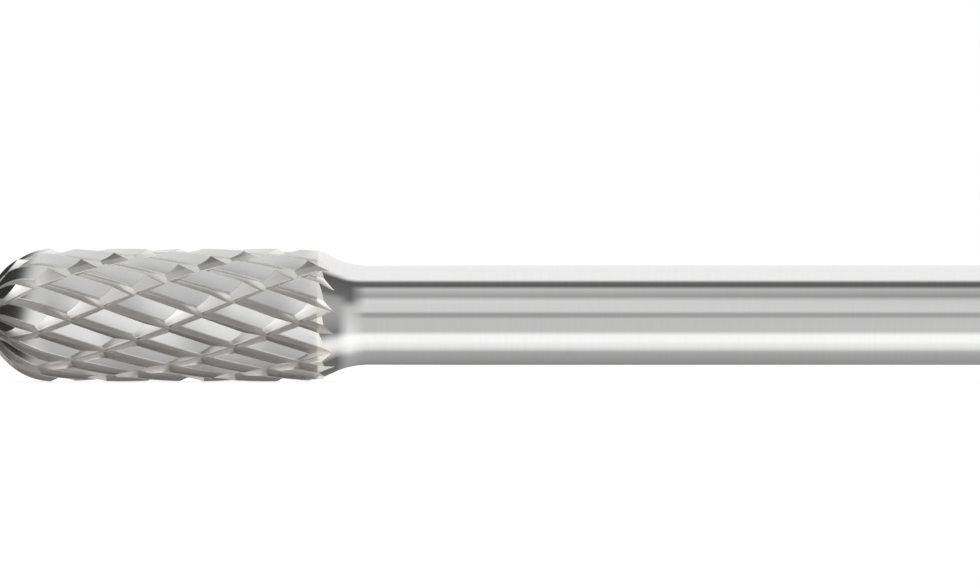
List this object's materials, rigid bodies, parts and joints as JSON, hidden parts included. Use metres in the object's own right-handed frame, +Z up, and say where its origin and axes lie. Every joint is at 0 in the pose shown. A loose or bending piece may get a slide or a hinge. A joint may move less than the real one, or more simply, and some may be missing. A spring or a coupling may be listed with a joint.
{
  "type": "carbide burr",
  "caption": "Rotary burr with a ball-nosed cylindrical carbide head, double-cut teeth and a hollow neck down to a plain round steel shank.",
  "frame": {"origin": "centre of the shank's free end face", "axes": "+X along the tool's axis, out of the shank's free end, so the head points to -X; +Z is up in the pictured view"},
  "size_m": [0.065, 0.008, 0.008],
  "materials": {
    "carbide": "bright ground, fine wheel marks along the flutes",
    "braze": "pale silver braze, ground flush",
    "steel": "bright centreless-ground and polished"
  },
  "bodies": {
    "root": {"carbide_head": "carbide", "braze_joint": "braze", "steel_shank": "steel"}
  },
  "joints": []
}
